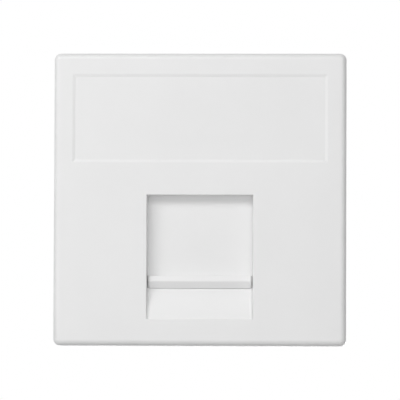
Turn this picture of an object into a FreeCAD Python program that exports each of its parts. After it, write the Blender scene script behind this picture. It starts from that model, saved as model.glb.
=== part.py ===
import FreeCAD
import Part
import math
import os

# Flat 45 mm faceplate for one keystone jack, with a sliding dust shutter.
#
# Four pieces: the cover plate, the shutter that slides up behind its window, the spring
# that pushes the shutter down again, and the carrier that snaps in from behind, traps the
# shutter in its rails, holds the jack and clips the whole into a modular frame.
#
# Millimetres. X runs to the right, Z up, and the front faces -Y. The origin is the centre
# of the plane at the back of the rim, which seats on the frame. Depths are measured from
# the front face towards the back.

# ---- Cover plate ----
plate_size = 45.0             # side of the square module
plate_depth = 7.0             # front face to the back of the rim
front_wall = 2.0
skirt_wall = 1.5
corner_radius = 1.0           # of the outline, seen from the front
front_edge_radius = 0.9       # rolled edge from the face to the skirt
cavity_corner_radius = 0.6

# ---- Label recess in the face ----
label_side_margin = 2.86      # from the plate's edges to the mouth of the recess
label_top_margin = 3.24
label_height = 13.56          # of the mouth
label_depth = 0.15
label_bevel = 0.42            # width of the sloping border
label_edge_radius = 0.3       # softening of the border's two edges

# ---- Window, with the finger ramp at its foot ----
window_width = 16.35
window_height = 19.13
window_foot_margin = 4.06     # from the plate's lower edge to the window's
window_draft = 3.0            # degrees, each wall
window_edge_radius = 0.12
ramp_height = 4.85
ramp_foot_depth = 0.2
ramp_top_depth = 1.7
ramp_bulge = 0.14             # how far the ramp's middle stands out, so its top is steeper
ramp_side_radius = 0.5         # coves between the ramp and the walls of the window
sill_height = 1.6             # rib behind the ramp, which stops the shutter

# ---- Shutter ----
shutter_thick = 1.2
shutter_lap = 1.0             # past the window at each side
shutter_top_lap = 3.0         # past the window's upper edge
shutter_foot_lap = 0.6        # behind the ramp, past its upper edge
face_gap = 0.1                # front of the shutter to the cover plate
back_gap = 0.2                # back of the shutter to the carrier
rail_gap = 0.1
stop_gap = 0.05               # at both ends of the travel
lip_side_gap = 0.05           # end of the lip to the window's wall, where that is narrowest
lip_gap = 0.1                 # underside of the lip to the ramp's upper edge
lip_overhang = 0.01           # lip's foot below the ramp's upper edge
lip_height = 1.86
lip_crest_height = 1.0        # from the lip's foot to the crest
lip_top_depth = 1.2           # upper edge of the front
lip_crest_depth = 0.98
lip_foot_depth = 1.48
lip_crest_radius = 0.4
lip_end_radius = 0.4

# ---- Rails and snap hooks behind the cover plate ----
rail_width = 1.25
rail_run_out = 1.0            # rail beyond the raised shutter
hook_offset = 13.0            # hook centres from the middle
hook_width = 5.0
hook_thick = 1.2
hook_flex_gap = 0.9           # between a hook and the skirt
hook_barb = 0.7
hook_tip = 1.3                # length of the barb's sloping lead-in
hook_gap = 0.2                # around a hook in its notch
catch_gap = 0.05              # from a barb to what it holds

# ---- Locating pegs behind the cover plate ----
peg_inset = 3.6               # peg axis from the cavity's walls
peg_boss_radius = 1.6
peg_radius = 0.75
peg_hole_gap = 0.15

# ---- Return spring and its seats ----
spring_diameter = 2.8
spring_wire = 0.2
wire_flats = 6
spring_turns = 10             # open turns, with one closed turn at each end
spring_closed_pitch = 1.05    # pitch of the closed turns, in wires
spring_gap = 0.02             # from each end coil to its seat
guide_gap = 0.3               # spring to the channel's walls
pad_height = 1.5
pad_gap = 0.2                 # pad to the channel's walls
seat_wall = 1.0
channel_wall = 1.0
channel_cheek = 1.2           # channel strip beside the slot
channel_view_width = 2.0
channel_view_margin = 3.0     # solid channel above and below the opening
pin_gap = 0.3                 # guide pin to the inside of the coil
shutter_pin = 1.6
seat_pin = 1.2

# ---- Jack carrier ----
carrier_thick = 1.8
carrier_gap = 0.4             # to the inside of the skirt
carrier_corner_radius = 1.0
port_width = 14.9             # passes the jack's 14.5 mm front
port_height = 16.4            # passes the jack's 16.0 mm front
housing_wall = 1.4
housing_edge_radius = 0.6     # outer corners, front to back
housing_depth = 9.8           # jack's front face to the back of the housing
ledge_thick = 1.6             # rear ledges that the jack's lug and latch hook behind
ledge_reach = 1.1
pocket_height = 2.65          # of the lug and latch pockets
lug_pocket_start = 5.9        # behind the jack's front face
latch_pocket_start = 4.2
latch_lead_in = 0.8
latch_window_width = 6.0
gusset_reach = 4.0
gusset_thick = 1.0
gusset_inset = 3.0            # from the housing's ends
ejector_radius = 1.25         # marks that the mould's ejector pins leave in the back
ejector_depth = 0.1
ejector_offset = 13.5         # upper and lower marks, from the middle
ejector_level = 11.0
inner_ejector_offset = 6.5    # marks beside the spring's channel
inner_ejector_level = 16.5

# ---- Clips that grip the modular frame ----
frame_ledge = 2.0             # thickness of the frame's ledge
clip_width = 10.0
clip_thick = 1.2
clip_catch = 1.2              # how far the barb stands out
clip_catch_gap = 0.1
clip_barb_length = 2.6
clip_tip = 0.9                # tongue beyond the barb
clip_relief_width = 0.8       # slits beside the tongue, which let it flex
clip_relief_depth = 3.2
clip_root_radius = 0.5

# ---- Places that follow from the sizes above ----
overcut = 1.0                 # how far a cutting tool runs past the face it opens
plate_half = plate_size / 2
cavity_half = plate_half - skirt_wall
window_half = window_width / 2
window_foot = window_foot_margin - plate_half
window_top = window_foot + window_height
window_taper = math.tan(math.radians(window_draft))
ramp_top = window_foot + ramp_height

shutter_front = front_wall + face_gap
shutter_back = shutter_front + shutter_thick
shutter_half = window_half + shutter_lap
shutter_foot = ramp_top - shutter_foot_lap
shutter_top = window_top + shutter_top_lap
sill_top = shutter_foot - stop_gap
lip_foot = ramp_top - lip_overhang
lip_top = lip_foot + lip_height
travel = window_top - front_wall * window_taper - stop_gap - lip_top

carrier_front = shutter_back + back_gap
carrier_back = carrier_front + carrier_thick
carrier_half = cavity_half - carrier_gap
port_middle = (ramp_top + shutter_foot + travel) / 2

spring_radius = spring_diameter / 2
spring_axis_depth = shutter_front + (carrier_back - pad_gap - shutter_front) / 2
slot_half = spring_radius + guide_gap
pad_half = slot_half - pad_gap
pad_back = carrier_back - pad_gap
pin_radius = spring_radius - spring_wire - pin_gap
channel_half = slot_half + channel_cheek
channel_back = carrier_back + channel_wall
seat_height = carrier_half - seat_wall


def at(x, depth, z):
    """Point at a depth behind the front face."""
    return FreeCAD.Vector(x, depth - plate_depth, z)


def block(x, depth, z):
    """Box from three (low, high) pairs."""
    return Part.makeBox(x[1] - x[0], depth[1] - depth[0], z[1] - z[0],
                        at(x[0], depth[0], z[0]))


def side_profile(points, x):
    """Solid with an outline of (depth, z) points, running along X between x[0] and x[1]."""
    outline = [at(x[0], depth, z) for depth, z in points]
    face = Part.Face(Part.makePolygon(outline + outline[:1]))
    return face.extrude(FreeCAD.Vector(x[1] - x[0], 0, 0))


def plan_profile(points, z):
    """Solid with an outline of (x, depth) points, running up Z between z[0] and z[1]."""
    outline = [at(x, depth, z[0]) for x, depth in points]
    face = Part.Face(Part.makePolygon(outline + outline[:1]))
    return face.extrude(FreeCAD.Vector(0, 0, z[1] - z[0]))


def tapered_block(half_width, z, depth, taper):
    """Block whose four sides close in by taper per millimetre of depth.

    half_width and z hold where the depth is 0."""
    near, far = depth[0] * taper, depth[1] * taper
    return Part.makeWedge(near - half_width, depth[0] - plate_depth, z[0] + near,
                          z[0] + far, far - half_width,
                          half_width - near, depth[1] - plate_depth, z[1] - near,
                          z[1] - far, half_width - far)


def cylinder(radius, x, depth, z, length, direction):
    return Part.makeCylinder(radius, length, at(x, depth, z), FreeCAD.Vector(*direction))


def edges_between(shape, x, depth, z):
    """Edges whose end points all lie inside a box, given as (low, high) pairs."""
    near = 0.01
    low, high = at(x[0], depth[0], z[0]), at(x[1], depth[1], z[1])
    found = []
    for edge in shape.Edges:
        points = [vertex.Point for vertex in edge.Vertexes]
        if all(low[i] - near < point[i] < high[i] + near for point in points for i in range(3)):
            found.append(edge)
    return found


def depth_edges(shape):
    """Straight edges that run from front to back."""
    return [edge for edge in shape.Edges
            if edge.Vertexes[0].Point.distanceToPoint(edge.Vertexes[-1].Point)
            == abs(edge.Vertexes[0].Y - edge.Vertexes[-1].Y)]


def mirrored(shape, normal):
    return shape.mirror(FreeCAD.Vector(0, 0, 0), FreeCAD.Vector(*normal))


def both_sides(shape):
    """A feature and its mirror image across the plate's middle."""
    return [shape, mirrored(shape, (1, 0, 0))]


# ---- Cover plate ----

def cover_body():
    """Open-backed square moulding with a rolled front edge."""
    whole = (-plate_half, plate_half)
    body = block(whole, (0, plate_depth), whole)
    body = body.makeFillet(corner_radius, depth_edges(body))
    front = edges_between(body, whole, (0, 0), whole)
    body = body.makeFillet(front_edge_radius, front)
    hollow = (-cavity_half, cavity_half)
    cavity = block(hollow, (front_wall, plate_depth + overcut), hollow)
    return body.cut(cavity.makeFillet(cavity_corner_radius, depth_edges(cavity)))


def label_recess():
    """Shallow tray with a sloping border, sunk into the face."""
    middle = plate_half - label_top_margin - label_height / 2
    tray = tapered_block(plate_half - label_side_margin, (-label_height / 2, label_height / 2),
                         (-overcut, label_depth), label_bevel / label_depth)
    tray.translate(FreeCAD.Vector(0, 0, middle))
    return tray


def window_opening():
    """What is cut for the window, with its drafted walls."""
    return tapered_block(window_half, (window_foot, window_top),
                         (-overcut, front_wall + overcut), window_taper)


def finger_ramp():
    """Gently rounded slope that fills the foot of the window, with a cove at each side."""
    x, below = -window_width, window_foot - overcut
    foot, top = at(x, ramp_foot_depth, window_foot), at(x, ramp_top_depth, ramp_top)
    middle = at(x, (ramp_foot_depth + ramp_top_depth) / 2 - ramp_bulge,
                (window_foot + ramp_top) / 2)
    above = ramp_top + overcut
    ahead = [top, at(x, ramp_top_depth, above), at(x, -overcut, above), at(x, -overcut, below),
             at(x, ramp_foot_depth, below), foot]
    outline = Part.Wire([Part.Arc(foot, middle, top).toShape()] + Part.makePolygon(ahead).Edges)
    space = Part.Face(outline).extrude(FreeCAD.Vector(2 * window_width, 0, 0))
    space = space.common(window_opening())
    half = window_half - ramp_foot_depth * window_taper
    sides = [edge for edge in edges_between(space, (-half, half), (ramp_foot_depth, ramp_top_depth),
                                            (window_foot, ramp_top))
             if edge.BoundBox.XLength < window_taper * front_wall]
    space = space.makeFillet(ramp_side_radius, sides)
    filling = window_opening().common(block((-window_half, window_half), (-overcut, front_wall),
                                            (below, ramp_top)))
    face = block((-window_width, window_width), (-2 * overcut, 0), (below - overcut, above))
    ramp = filling.cut([space, face])
    return ramp


def snap_hook(x_middle):
    """Upright hook behind the upper edge, with its barb turned in over the carrier."""
    outer = cavity_half - hook_flex_gap
    inner = outer - hook_thick
    catch = carrier_back + catch_gap
    points = [(front_wall, outer), (catch + hook_tip, outer), (catch + hook_tip, inner),
              (catch, inner - hook_barb), (catch, inner), (front_wall, inner)]
    return side_profile(points, (x_middle - hook_width / 2, x_middle + hook_width / 2))


def locating_peg(x, z):
    """Boss that sets the carrier's depth, with a peg into the carrier's hole."""
    back = (0, 1, 0)
    boss = cylinder(peg_boss_radius, x, front_wall, z, carrier_front - front_wall, back)
    peg = cylinder(peg_radius, x, front_wall, z, carrier_back - front_wall, back)
    return boss.fuse(peg)


def peg_places():
    reach = cavity_half - peg_inset
    return [(x, z) for x in (-reach, reach) for z in (-reach, reach)]


def make_cover_plate():
    cover = cover_body().cut([label_recess(), window_opening()])
    mouth = edges_between(cover, (-window_half, window_half), (0, 0), (window_foot, window_top))
    cover = cover.makeFillet(window_edge_radius, mouth)
    label_half = plate_half - label_side_margin
    label_top = plate_half - label_top_margin
    border = edges_between(cover, (-label_half, label_half), (0, label_depth),
                           (label_top - label_height, label_top))
    cover = cover.makeFillet(label_edge_radius, border)

    sill = block((-window_half, window_half), (front_wall, carrier_front),
                 (sill_top - sill_height, sill_top))
    rail_inner = shutter_half + rail_gap
    rail = block((rail_inner, rail_inner + rail_width), (front_wall, carrier_front),
                 (sill_top - sill_height, shutter_top + travel + rail_run_out))
    upper_hooks = both_sides(snap_hook(hook_offset))
    lower_hooks = [mirrored(hook, (0, 0, 1)) for hook in upper_hooks]
    pegs = [locating_peg(x, z) for x, z in peg_places()]
    details = [finger_ramp(), sill] + both_sides(rail) + upper_hooks + lower_hooks + pegs
    cover = cover.multiFuse(details)
    return cover.removeSplitter()


# ---- Shutter ----

def finger_lip():
    """Bar with a rounded crest, undercut below, for a fingernail."""
    half = window_half - front_wall * window_taper - lip_side_gap
    crest = lip_foot + lip_crest_height
    root = shutter_front + shutter_thick / 2
    under = ramp_top + lip_gap
    lip = side_profile([(root, lip_top), (lip_top_depth, lip_top), (lip_crest_depth, crest),
                        (lip_foot_depth, lip_foot), (ramp_top_depth, under), (root, under)],
                       (-half, half))
    ridge = edges_between(lip, (-half, half), (lip_crest_depth, lip_crest_depth),
                          (crest, crest))
    lip = lip.makeFillet(lip_crest_radius, ridge)
    rims = [edges_between(lip, (end, end), (lip_crest_depth, lip_foot_depth), (lip_foot, lip_top))
            for end in (-half, half)]
    return lip.makeFillet(lip_end_radius, rims[0] + rims[1])


def make_shutter():
    """Flat slide with a finger lip in front and the spring's pad at its upper end."""
    slide = block((-shutter_half, shutter_half), (shutter_front, shutter_back),
                  (shutter_foot, shutter_top))
    pad = block((-pad_half, pad_half), (shutter_front, pad_back),
                (shutter_top - pad_height, shutter_top))
    pin = cylinder(pin_radius, 0, spring_axis_depth, shutter_top, shutter_pin, (0, 0, 1))
    return slide.multiFuse([finger_lip(), pad, pin]).removeSplitter()


# ---- Return spring ----

def wire_section(centre, slope):
    """Section of the spring's wire, with flats in place of the round to keep facets few."""
    along = FreeCAD.Vector(0, 1, slope).normalize()
    outward = FreeCAD.Vector(1, 0, 0)
    across = along.cross(outward)
    corners = []
    for step in range(wire_flats):
        turn = 2 * math.pi * (step + 0.5) / wire_flats
        corners.append(centre + outward * (spring_wire / 2 * math.cos(turn))
                       + across * (spring_wire / 2 * math.sin(turn)))
    return Part.makePolygon(corners + corners[:1])


def make_return_spring():
    """Compression spring: open turns between two closed end coils."""
    coil_radius = spring_radius - spring_wire / 2
    low = shutter_top + spring_gap + spring_wire / 2
    high = seat_height - spring_gap - spring_wire / 2
    closed_pitch = spring_wire * spring_closed_pitch
    open_height = high - low - 2 * closed_pitch
    coils = []
    level = low
    for turns, height in ((1, closed_pitch), (spring_turns, open_height), (1, closed_pitch)):
        coil = Part.makeHelix(height / turns, height, coil_radius)
        coil.translate(at(0, spring_axis_depth, level))
        coils += coil.Edges
        level += height
    section = wire_section(at(coil_radius, spring_axis_depth, low),
                           closed_pitch / (2 * math.pi * coil_radius))
    return Part.Wire(coils).makePipeShell([section], True, True)


# ---- Jack carrier ----

def carrier_plate():
    whole = (-carrier_half, carrier_half)
    plate = block(whole, (carrier_front, carrier_back), whole)
    return plate.makeFillet(carrier_corner_radius, depth_edges(plate))


def hook_notch(x_middle):
    """Notch in the upper edge that a snap hook passes through."""
    inner = cavity_half - hook_flex_gap - hook_thick - hook_gap
    half = hook_width / 2 + hook_gap
    return block((x_middle - half, x_middle + half),
                 (carrier_front - overcut, carrier_back + overcut),
                 (inner, carrier_half + overcut))


def housing_limits():
    """Lowest and highest point of the jack housing."""
    reach = port_height / 2 + pocket_height + housing_wall
    return port_middle - reach, port_middle + reach


def jack_housing():
    half = port_width / 2 + housing_wall
    housing = block((-half, half), (carrier_front, carrier_front + housing_depth),
                    housing_limits())
    return housing.makeFillet(housing_edge_radius, depth_edges(housing))


def jack_space():
    """The jack's way through the housing, with the pockets for its lug and its latch."""
    front = carrier_front
    back = front + housing_depth
    ledge = back - ledge_thick
    low, high = port_middle - port_height / 2, port_middle + port_height / 2
    pocket_low, pocket_high = low - pocket_height, high + pocket_height
    mouth_low, mouth_high = pocket_low + ledge_reach, pocket_high - ledge_reach
    lug, latch = front + lug_pocket_start, front + latch_pocket_start
    points = [(front - overcut, low), (lug, low), (lug, pocket_low), (ledge, pocket_low),
              (ledge, mouth_low), (back + overcut, mouth_low),
              (back + overcut, mouth_high + latch_lead_in), (back, mouth_high + latch_lead_in),
              (ledge, mouth_high), (ledge, pocket_high), (latch, pocket_high), (latch, high),
              (front - overcut, high)]
    space = side_profile(points, (-port_width / 2, port_width / 2))
    latch_window = block((-latch_window_width / 2, latch_window_width / 2), (latch, ledge),
                         (high, pocket_high + housing_wall + overcut))
    return space.fuse(latch_window)


def housing_gusset(z_middle):
    """Triangular rib from the housing's side down to the carrier's plate."""
    side = port_width / 2 + housing_wall
    points = [(side, carrier_back), (side + gusset_reach, carrier_back),
              (side, carrier_back + gusset_reach)]
    return plan_profile(points, (z_middle - gusset_thick / 2, z_middle + gusset_thick / 2))


def ejector_marks():
    """Shallow round marks in the back of the plate."""
    places = [(ejector_offset, ejector_level), (ejector_offset, -ejector_level),
              (inner_ejector_offset, inner_ejector_level)]
    marks = [cylinder(ejector_radius, x, carrier_back - ejector_depth, z, overcut, (0, 1, 0))
             for x, z in places]
    return [side for mark in marks for side in both_sides(mark)]


def spring_channel():
    """Strip behind the slot and the seat that the spring pushes against."""
    x = (-channel_half, channel_half)
    strip = block(x, (carrier_back, channel_back), (housing_limits()[1], carrier_half))
    seat = block(x, (shutter_front, channel_back), (seat_height, carrier_half))
    pin = cylinder(pin_radius, 0, spring_axis_depth, seat_height, seat_pin, (0, 0, -1))
    return strip.multiFuse([seat, pin])


def channel_view():
    """Opening in the strip that leaves the spring in view."""
    half = channel_view_width / 2
    return block((-half, half), (carrier_back - overcut, channel_back + overcut),
                 (housing_limits()[1] + channel_view_margin, seat_height - channel_view_margin))


def spring_slot():
    """Slot that the spring and the shutter's pad run in."""
    return block((-slot_half, slot_half), (carrier_front - overcut, carrier_back),
                 (shutter_top - pad_height - pad_gap, seat_height))


def frame_clip():
    """Flexible tongue with an outward barb that holds behind the frame's ledge."""
    outer = carrier_half
    inner = outer - clip_thick
    catch = plate_depth + frame_ledge + clip_catch_gap
    tip = catch + clip_barb_length
    points = [(inner, carrier_front), (outer, carrier_front), (outer, catch),
              (outer + clip_catch, catch), (outer, tip), (outer, tip + clip_tip),
              (inner, tip + clip_tip)]
    return plan_profile(points, (-clip_width / 2, clip_width / 2))


def clip_reliefs():
    """Slits in the carrier's plate above and below a clip."""
    reliefs = []
    for level in (clip_width / 2, -clip_width / 2 - clip_relief_width):
        reliefs.append(block((carrier_half - clip_relief_depth, carrier_half + overcut),
                             (carrier_front - overcut, carrier_back + overcut),
                             (level, level + clip_relief_width)))
    return reliefs


def make_jack_carrier():
    upper_notches = both_sides(hook_notch(hook_offset))
    lower_notches = [mirrored(notch, (0, 0, 1)) for notch in upper_notches]
    reliefs = [side for relief in clip_reliefs() for side in both_sides(relief)]
    peg_holes = [cylinder(peg_radius + peg_hole_gap, x, front_wall, z, carrier_back, (0, 1, 0))
                 for x, z in peg_places()]
    plate = carrier_plate().cut(upper_notches + lower_notches + reliefs + peg_holes
                                + ejector_marks())

    low, high = housing_limits()
    gussets = [side for z in (low + gusset_inset, high - gusset_inset)
               for side in both_sides(housing_gusset(z))]
    carrier = plate.multiFuse([jack_housing()] + gussets + both_sides(frame_clip()))
    root = edges_between(carrier, (carrier_half - clip_thick, carrier_half - clip_thick),
                         (carrier_back, carrier_back), (-clip_width / 2, clip_width / 2))
    root += edges_between(carrier, (clip_thick - carrier_half, clip_thick - carrier_half),
                          (carrier_back, carrier_back), (-clip_width / 2, clip_width / 2))
    carrier = carrier.makeFillet(clip_root_radius, root)
    carrier = carrier.cut([spring_slot(), jack_space()])
    return carrier.fuse(spring_channel()).cut(channel_view()).removeSplitter()


makers = {
    "cover_plate": make_cover_plate,
    "shutter": make_shutter,
    "return_spring": make_return_spring,
    "jack_carrier": make_jack_carrier,
}

os.makedirs("parts", exist_ok=True)
print(f"travel of the shutter: {travel:.2f} mm")
for node, make in makers.items():
    shape = make()
    print(f"{node}: {len(shape.Solids)} solid, {shape.Volume:.1f} mm3, valid {shape.isValid()}")
    shape.exportStep(f"parts/{node}.step")
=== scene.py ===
# %% [markdown]
# A 45 mm faceplate for one keystone jack
# This lesson dresses a finished CAD model: the solids keep their size and place, and every
# surface gets the finish that the real one has. There are only four pieces. A cover plate
# and a sliding shutter are moulded in white ABS, a carrier behind them is moulded in a
# duller grade of it, and a thin steel spring pushes the shutter down.
# White plastic has little colour of its own, so the light does most of the work here.

# %% Load the frame
import math

import bmesh
import bpy
from mathutils import Matrix, Vector


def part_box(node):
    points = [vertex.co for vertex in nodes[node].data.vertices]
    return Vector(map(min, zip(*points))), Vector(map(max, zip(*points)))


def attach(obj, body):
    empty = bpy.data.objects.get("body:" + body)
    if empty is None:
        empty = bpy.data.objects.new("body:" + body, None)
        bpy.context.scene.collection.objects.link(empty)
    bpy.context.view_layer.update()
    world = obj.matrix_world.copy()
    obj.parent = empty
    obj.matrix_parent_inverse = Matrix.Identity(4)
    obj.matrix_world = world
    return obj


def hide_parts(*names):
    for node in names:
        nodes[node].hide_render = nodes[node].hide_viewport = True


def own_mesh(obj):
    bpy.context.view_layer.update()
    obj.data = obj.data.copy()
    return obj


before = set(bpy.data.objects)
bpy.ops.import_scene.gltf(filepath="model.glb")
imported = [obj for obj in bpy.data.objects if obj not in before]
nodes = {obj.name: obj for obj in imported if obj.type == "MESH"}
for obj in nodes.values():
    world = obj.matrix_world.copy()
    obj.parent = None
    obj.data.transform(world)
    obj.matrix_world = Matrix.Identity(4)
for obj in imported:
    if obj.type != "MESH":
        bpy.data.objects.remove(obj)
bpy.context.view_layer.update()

print("CAD nodes:", sorted(nodes))

# %% [markdown]
# Sizes
# Blender works in metres, and a mould maker in millimetres. One constant turns the second
# into the first, so that every size below reads as it would on a drawing. The plate's box
# gives the places that the lamps, the camera and the floor are measured from.

# %% Millimetres and the plate's box
MM = 0.001

plate_low, plate_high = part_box("cover_plate")
plate_size = plate_high.x - plate_low.x
face_centre = Vector((0, plate_low.y, (plate_low.z + plate_high.z) / 2))
print(f"plate {plate_size / MM:.1f} mm square, face at y = {face_centre.y / MM:.1f} mm")

# %% [markdown]
# Colours
# A colour picked on a screen is an sRGB value, but a renderer adds up light, so it wants
# the linear value. One function turns a hex string into that.

# %% Hex to linear
def linear(hex_colour):
    """Linear RGBA of an sRGB hex colour such as 'E6E6E6'."""
    channels = []
    for start in (0, 2, 4):
        value = int(hex_colour[start:start + 2], 16) / 255
        # The sRGB curve has a short straight foot, and is a power above it.
        channels.append(value / 12.92 if value <= 0.04045 else ((value + 0.055) / 1.055) ** 2.4)
    return (*channels, 1.0)


print("E6E6E6 is", [round(channel, 3) for channel in linear("E6E6E6")])

# %% [markdown]
# One helper for shader nodes
# A material is a small graph. This helper adds any node, sets its properties, and fills or
# links its inputs, so that a finish below reads as a list of what feeds what.

# %% Add a node
def add_node(tree, kind, inputs=None, **settings):
    """Add a shader node. An input is a value, or the output socket that feeds it."""
    node = tree.nodes.new(kind)
    for name, value in settings.items():
        setattr(node, name, value)
    for name, value in (inputs or {}).items():
        if isinstance(value, bpy.types.NodeSocket):
            tree.links.new(value, node.inputs[name])
        else:
            node.inputs[name].default_value = value
    return node


def new_material(name):
    """An empty node material and the socket of its output."""
    material = bpy.data.materials.new(name)
    material.use_nodes = True
    material.node_tree.nodes.clear()
    output = add_node(material.node_tree, "ShaderNodeOutputMaterial")
    return material, material.node_tree, output.inputs["Surface"]


# %% [markdown]
# Moulded ABS
# ABS is an opaque, slightly waxy plastic. Its pellets are melted and pressed into a steel
# mould, and the surface copies the steel. Three things give that away. Melt that cooled a
# little sooner leaves the white a touch uneven, over about a centimetre. The steel was
# polished by hand, which leaves a long low waviness that only a reflection shows. And it was
# blasted with fine beads, which leaves a grain that spreads the shine to a satin.
# The grain is 0.05 mm on the real plate. It is drawn at 0.2 mm here, or it would not show
# even close up. The carrier's mould was only spark-eroded, so its grain is coarser and
# deeper, and one function with other numbers makes both. That grain is about 0.1 mm across,
# and is drawn at 0.35 mm for the same reason.

# %% The finish of a moulded part
flow_size = 11.0              # mm, patches of melt that cooled together
satin_spread = 0.05           # how far the grain sways the roughness, each way
abs_ior = 1.53


def moulded_abs(name, tint, shade, roughness, grain, grain_height, wave, wave_height):
    """ABS from a steel mould. Lengths are in millimetres."""
    material, tree, surface = new_material(name)
    place = add_node(tree, "ShaderNodeTexCoord").outputs["Object"]

    flow = add_node(tree, "ShaderNodeTexNoise",
                    {"Vector": place, "Scale": 1 / (flow_size * MM), "Detail": 2.0})
    colour = add_node(tree, "ShaderNodeValToRGB", {"Fac": flow.outputs["Fac"]})
    # Noise seldom leaves the middle of its range, so the ramp spans only that.
    for end, position, tone in zip(colour.color_ramp.elements, (0.3, 0.7), (shade, tint)):
        end.position = position
        end.color = linear(tone)

    beads = add_node(tree, "ShaderNodeTexNoise",
                     {"Vector": place, "Scale": 1 / (grain * MM), "Detail": 3.0})
    satin = add_node(tree, "ShaderNodeMapRange",
                     {"Value": beads.outputs["Fac"], "From Min": 0.25, "From Max": 0.75,
                      "To Min": roughness - satin_spread, "To Max": roughness + satin_spread})
    polish = add_node(tree, "ShaderNodeTexNoise",
                      {"Vector": place, "Scale": 1 / (wave * MM), "Detail": 1.0})
    waves = add_node(tree, "ShaderNodeBump",
                     {"Height": polish.outputs["Fac"], "Strength": 1.0,
                      "Distance": wave_height * MM})
    relief = add_node(tree, "ShaderNodeBump",
                      {"Height": beads.outputs["Fac"], "Strength": 1.0,
                       "Distance": grain_height * MM, "Normal": waves.outputs["Normal"]})
    plastic = add_node(tree, "ShaderNodeBsdfPrincipled",
                       {"Base Color": colour.outputs["Color"],
                        "Roughness": satin.outputs["Result"],
                        "Normal": relief.outputs["Normal"],
                        "IOR": abs_ior})
    tree.links.new(plastic.outputs["BSDF"], surface)
    return material


satin_abs = moulded_abs("white_abs_satin_moulded", "E8E8E8", "E6E6E6", roughness=0.34,
                        grain=0.2, grain_height=0.0004, wave=2.5, wave_height=0.001)
matt_abs = moulded_abs("white_abs_spark_eroded", "DEDDDA", "DAD9D6", roughness=0.55,
                       grain=0.35, grain_height=0.004, wave=4.0, wave_height=0.004)
print("finishes:", satin_abs.name, "and", matt_abs.name)

# %% Put the finishes on the moulded pieces
for node, finish in (("cover_plate", satin_abs), ("shutter", satin_abs),
                     ("jack_carrier", matt_abs)):
    for slot in nodes[node].material_slots:
        slot.material = finish
    print(node, "is", finish.name)

# %% [markdown]
# Drawn spring steel
# The spring is 0.2 mm music wire. It is pulled through a diamond die, so it is smooth and
# bright, with faint scratches along its length. A metal has no colour under its shine: the
# base colour is the tint of the shine itself, and the metallic value is 1. Real scratches
# are some 0.01 mm apart, and these are drawn at 0.03 mm, so that a few can be told apart.

# %% The finish of the wire
scratch_stretch = 20          # a scratch's length against its width
drawn_spread = 0.08           # how far the scratches sway the roughness, each way


def drawn_steel(name, tint, shade, roughness, scratch):
    """Bright wire with die scratches, scratch millimetres apart, along its length."""
    material, tree, surface = new_material(name)
    unrolled = add_node(tree, "ShaderNodeUVMap", uv_map="wire")
    scratches = 1 / (scratch * MM)
    stretched = add_node(tree, "ShaderNodeMapping",
                         {"Vector": unrolled.outputs["UV"],
                          "Scale": (scratches / scratch_stretch, scratches, 1.0)})
    lines = add_node(tree, "ShaderNodeTexNoise",
                     {"Vector": stretched.outputs["Vector"], "Scale": 1.0, "Detail": 2.0})
    colour = add_node(tree, "ShaderNodeValToRGB", {"Fac": lines.outputs["Fac"]})
    colour.color_ramp.elements[0].color = linear(shade)
    colour.color_ramp.elements[1].color = linear(tint)
    drawn = add_node(tree, "ShaderNodeMapRange",
                     {"Value": lines.outputs["Fac"], "To Min": roughness - drawn_spread,
                      "To Max": roughness + drawn_spread})
    steel = add_node(tree, "ShaderNodeBsdfPrincipled",
                     {"Base Color": colour.outputs["Color"], "Metallic": 1.0,
                      "Roughness": drawn.outputs["Result"]})
    tree.links.new(steel.outputs["BSDF"], surface)
    return material


wire_steel = drawn_steel("drawn_spring_steel", "C9C8C4", "A9A8A4", roughness=0.3,
                         scratch=0.03)
print("finish of the wire:", wire_steel.name)

# %% [markdown]
# The return spring
# The CAD spring is made of flats, which is enough to weigh it and to test it. Here it is
# wound again as a round wire. A curve with a bevel would do, but then the twist of its
# section is Blender's choice. So the tube is built ring by ring: each ring stands square to
# the wire, and the same ring is repeated along the helix. The first and the last turn lie
# closed, so that the spring stands flat on its seats, and the turns between are evenly open.

# %% The line of the coil
spring_low, spring_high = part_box("return_spring")
spring_axis = (spring_low + spring_high) / 2
spring_length = spring_high.z - spring_low.z
wire = 0.2 * MM
coil_radius = (spring_high.x - spring_low.x - wire) / 2
open_turns = 10
closed_turns = 1              # at each end
all_turns = open_turns + 2 * closed_turns
closed_pitch = 1.05 * wire


def coil_height(turn):
    """Height of the wire's centre after a number of turns from the lower end."""
    first = spring_low.z + wire / 2
    open_length = spring_length - wire - 2 * closed_turns * closed_pitch
    opened = min(max((turn - closed_turns) / open_turns, 0.0), 1.0)
    closed = min(turn, closed_turns) + max(turn - (all_turns - closed_turns), 0.0)
    return first + closed * closed_pitch + open_length * opened


def coil_point(turn):
    angle = 2 * math.pi * turn
    return Vector((spring_axis.x + coil_radius * math.cos(angle),
                   spring_axis.y + coil_radius * math.sin(angle), coil_height(turn)))


print(f"coil: {all_turns} turns of {coil_radius / MM:.1f} mm radius on the wire's centre, "
      f"{spring_length / MM:.1f} mm long")


# %% A ring round the wire
def coil_ring(turn, sides):
    """Points round the wire, on a ring that stands square to it."""
    nudge = 0.001             # of a turn, to find which way the wire runs
    centre = coil_point(turn)
    outward = Vector((math.cos(2 * math.pi * turn), math.sin(2 * math.pi * turn), 0))
    ahead = (coil_point(turn + nudge) - coil_point(turn - nudge)).normalized()
    across = ahead.cross(outward)
    ring = []
    for side in range(sides):
        angle = 2 * math.pi * side / sides
        offset = outward * math.cos(angle) + across * math.sin(angle)
        ring.append(centre + offset * wire / 2)
    return ring


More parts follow.
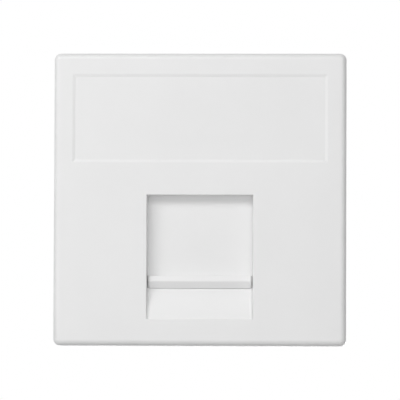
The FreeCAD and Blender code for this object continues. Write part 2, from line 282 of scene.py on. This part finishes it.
# %% Wind the spring
def wind_spring(name, steps_per_turn=48, sides=14):
    """A round wire along the coil, with a UV map in metres along and around the wire."""
    mesh_builder = bmesh.new()
    wire_map = mesh_builder.loops.layers.uv.new("wire")
    steps = all_turns * steps_per_turn
    rings = [[mesh_builder.verts.new(point) for point in coil_ring(step / steps_per_turn, sides)]
             for step in range(steps + 1)]
    step_length = 2 * math.pi * coil_radius / steps_per_turn
    side_length = math.pi * wire / sides
    for step in range(steps):
        for side in range(sides):
            after = (side + 1) % sides
            face = mesh_builder.faces.new((rings[step][side], rings[step][after],
                                           rings[step + 1][after], rings[step + 1][side]))
            face.smooth = True
            corners = ((step, side), (step, side + 1), (step + 1, side + 1), (step + 1, side))
            for loop, (along, around) in zip(face.loops, corners):
                loop[wire_map].uv = (along * step_length, around * side_length)
    mesh_builder.faces.new(rings[0])
    mesh_builder.faces.new(list(reversed(rings[-1])))
    bmesh.ops.recalc_face_normals(mesh_builder, faces=mesh_builder.faces)
    mesh = bpy.data.meshes.new(name)
    mesh_builder.to_mesh(mesh)
    mesh_builder.free()
    spring = bpy.data.objects.new(name, mesh)
    bpy.context.scene.collection.objects.link(spring)
    return spring


round_spring = wind_spring("return_spring_wire")
round_spring.data.materials.append(wire_steel)
print(f"spring: {len(round_spring.data.polygons)} faces, wire {wire / MM:.1f} mm")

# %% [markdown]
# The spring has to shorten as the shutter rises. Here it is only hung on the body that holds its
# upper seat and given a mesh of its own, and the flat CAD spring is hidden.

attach(round_spring, "faceplate")
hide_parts("return_spring")
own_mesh(round_spring)

# %% [markdown]
# The floor
# The plate is a wall fitting, so it hangs in front of a white sweep. The floor lies well
# below it and is a plain grey disc to the light. To the camera it glows up to white, except
# where the plate's shadow falls. Light Path tells the two apart: mirrors and glass see what
# the camera sees, so that they reflect the same white room.

# %% Seen white, lit grey
def seen_directly(tree):
    """1 for camera, glossy and transmission rays, and 0 for diffuse light."""
    rays = add_node(tree, "ShaderNodeLightPath")
    mirrored = add_node(tree, "ShaderNodeMath",
                        {0: rays.outputs["Is Glossy Ray"], 1: rays.outputs["Is Transmission Ray"]},
                        operation="ADD")
    seen = add_node(tree, "ShaderNodeMath",
                    {0: rays.outputs["Is Camera Ray"], 1: mirrored.outputs["Value"]},
                    operation="ADD", use_clamp=True)
    return seen.outputs["Value"]


def floor_paper(name, tone, glow):
    material, tree, surface = new_material(name)
    paper = add_node(tree, "ShaderNodeBsdfDiffuse", {"Color": linear(tone)})
    strength = add_node(tree, "ShaderNodeMath", {0: seen_directly(tree), 1: glow},
                        operation="MULTIPLY")
    light = add_node(tree, "ShaderNodeEmission",
                     {"Color": linear("FFFFFF"), "Strength": strength.outputs["Value"]})
    both = add_node(tree, "ShaderNodeAddShader",
                    {0: paper.outputs["BSDF"], 1: light.outputs["Emission"]})
    tree.links.new(both.outputs["Shader"], surface)
    return material


# %% Lay the floor
floor_drop = 37.5 * MM        # below the plate's lower edge
floor_radius = 400 * MM


def disc(name, radius, height, sides=96):
    mesh_builder = bmesh.new()
    bmesh.ops.create_circle(mesh_builder, cap_ends=True, segments=sides, radius=radius)
    mesh = bpy.data.meshes.new(name)
    mesh_builder.to_mesh(mesh)
    mesh_builder.free()
    made = bpy.data.objects.new(name, mesh)
    made.location = (0, 0, height)
    bpy.context.scene.collection.objects.link(made)
    return made


floor = disc("floor", floor_radius, height=plate_low.z - floor_drop)
floor.data.materials.append(floor_paper("grey_sweep_paper", "C4C4C4", glow=0.81))
print(f"floor {floor.location.z / MM:.1f} mm from the plate's centre")

# %% [markdown]
# The light
# White on white is drawn by light alone. A broad softbox, high in front, glints along the top of
# the rim and throws the shade that hangs in the top of the window. A small bright one beside it,
# further to the left, gives the window's left wall its shade and keeps the right side of the rim
# dark. A long low one fills the face from just under the lens, and the room adds an even light
# from all sides. Together they put as much light on the face as makes a colour render about as it
# is written. A last softbox behind the plate lights the clips for a view from behind. It is kept
# small, because its light passes the plate and comes back from the floor onto the underside of the
# rim.

# %% The room
def light_room(level):
    """White to whatever sees the room directly, and only level as bright to the rest."""
    world = bpy.data.worlds.new("white_room")
    world.use_nodes = True
    tree = world.node_tree
    tree.nodes.clear()
    seen = seen_directly(tree)
    strength = add_node(tree, "ShaderNodeMapRange",
                        {"Value": seen, "To Min": level, "To Max": 1.0})
    background = add_node(tree, "ShaderNodeBackground",
                          {"Color": linear("FFFFFF"), "Strength": strength.outputs["Result"]})
    output = add_node(tree, "ShaderNodeOutputWorld")
    tree.links.new(background.outputs["Background"], output.inputs["Surface"])
    bpy.context.scene.world = world


room_level = 0.31
light_room(room_level)
print(f"the room gives {room_level:.2f} of the light of a white one")


# %% The softboxes
def softbox(name, azimuth, elevation, distance, spread, brightness):
    """A rectangular lamp that faces the plate's face.

    Azimuth and elevation say where it stands, seen from the face, with 0, 0 straight in
    front. Spread is the angle that it fills, across and up. Brightness is how bright its
    surface is, where 1 is white."""
    turn, rise = math.radians(azimuth), math.radians(elevation)
    towards = Vector((math.sin(turn) * math.cos(rise), -math.cos(turn) * math.cos(rise),
                      math.sin(rise)))
    lamp = bpy.data.lights.new(name, "AREA")
    lamp.shape = "RECTANGLE"
    lamp.size, lamp.size_y = (2 * distance * math.tan(math.radians(angle / 2))
                              for angle in spread)
    lamp.energy = brightness * math.pi * lamp.size * lamp.size_y    # in watts
    box = bpy.data.objects.new(name, lamp)
    box.location = face_centre + towards * distance
    box.rotation_euler = towards.to_track_quat("Z", "Y").to_euler()
    box.visible_camera = False
    bpy.context.scene.collection.objects.link(box)
    print(f"{name}: {lamp.size / MM:.0f} by {lamp.size_y / MM:.0f} mm, {lamp.energy:.2f} W")


near, far = 250 * MM, 400 * MM
softbox("key_softbox", azimuth=-12, elevation=31, distance=near, spread=(90, 22), brightness=2.2)
softbox("left_softbox", azimuth=-40, elevation=30, distance=near, spread=(30, 12), brightness=4.6)
softbox("front_softbox", azimuth=-12, elevation=-10, distance=near, spread=(80, 15),
        brightness=2.6)
softbox("back_softbox", azimuth=180, elevation=3, distance=far, spread=(30, 24), brightness=3.0)

# %% [markdown]
# The camera
# A long lens from 0.6 m flattens the plate. The camera stands a little to the right and a
# little low, and leans by a fifth of a degree, as a hand-set one does. The focal length
# follows from the distance and from how wide a strip of the face fills the frame.

# %% Place the camera
camera_distance = 0.6
camera_azimuth = math.radians(2.14)
camera_elevation = math.radians(-2.60)
camera_roll = math.radians(0.21)
framed_width = 61.46 * MM
aim = face_centre + Vector((0.03 * MM, 0, -0.11 * MM))

towards_camera = Vector((math.sin(camera_azimuth) * math.cos(camera_elevation),
                         -math.cos(camera_azimuth) * math.cos(camera_elevation),
                         math.sin(camera_elevation)))
lens = bpy.data.cameras.new("camera")
lens.sensor_width = 36.0      # in millimetres, as the focal length is
lens.lens = lens.sensor_width * camera_distance / framed_width
lens.clip_start = 0.01
camera = bpy.data.objects.new("camera", lens)
camera.location = aim + towards_camera * camera_distance
upright = towards_camera.to_track_quat("Z", "Y")
camera.rotation_euler = (upright.to_matrix() @ Matrix.Rotation(camera_roll, 3, "Z")).to_euler()
bpy.context.scene.collection.objects.link(camera)
bpy.context.scene.camera = camera
bpy.context.scene.view_settings.view_transform = "Standard"
print(f"lens {lens.lens:.0f} mm, camera at {[round(v, 3) for v in camera.location]}")
